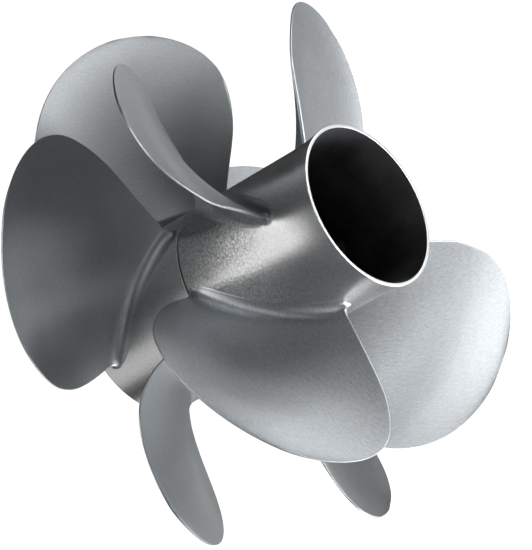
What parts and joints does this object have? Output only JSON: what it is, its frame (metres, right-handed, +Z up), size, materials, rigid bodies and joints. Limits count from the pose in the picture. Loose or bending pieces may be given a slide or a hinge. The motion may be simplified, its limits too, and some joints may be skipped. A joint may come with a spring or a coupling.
{
  "type": "counter-rotating ship propeller pair",
  "caption": "Two coaxial ship propellers of opposite hand, one behind the other, with exhaust outlet through their open hubs and splined rubber-bushed bores.",
  "frame": {"origin": "on the shaft line, in the plane of the front splined sleeve's front face, which seats on the shaft's thrust face", "axes": "+X ahead along the shaft line, +Z up; the four-bladed rear propeller is towards -X, with its first blade straight up, and the front propeller's first blade points straight down"},
  "size_m": [0.2315, 0.399, 0.3995],
  "materials": {
    "satin_steel": "bead-blasted and lightly brushed satin, with polished edges",
    "bush_rubber": "moulded, matt",
    "sleeve_bronze": "machined bronze, lightly worn"
  },
  "bodies": {
    "front_propeller": {"front_hub_barrel": "satin_steel", "front_blade_1": "satin_steel", "front_blade_2": "satin_steel", "front_blade_3": "satin_steel", "front_blade_4": "satin_steel", "front_blade_5": "satin_steel", "front_inner_hub": "satin_steel", "front_rib_1": "satin_steel", "front_rib_2": "satin_steel", "front_rib_3": "satin_steel", "front_rib_4": "satin_steel", "front_rib_5": "satin_steel", "front_rubber_bush": "bush_rubber", "front_splined_sleeve": "sleeve_bronze"},
    "rear_propeller": {"rear_hub_barrel": "satin_steel", "rear_blade_1": "satin_steel", "rear_blade_2": "satin_steel", "rear_blade_3": "satin_steel", "rear_blade_4": "satin_steel", "rear_inner_hub": "satin_steel", "rear_rib_1": "satin_steel", "rear_rib_2": "satin_steel", "rear_rib_3": "satin_steel", "rear_rib_4": "satin_steel", "rear_rubber_bush": "bush_rubber", "rear_splined_sleeve": "sleeve_bronze", "thrust_ring": "sleeve_bronze"}
  },
  "joints": [
    {"name": "rear_propeller_spin", "type": "hinge", "parent": "front_propeller", "child": "rear_propeller", "pos_m": [-0.1295, 0, 0], "axis": [1, 0, 0], "continuous": true}
  ]
}
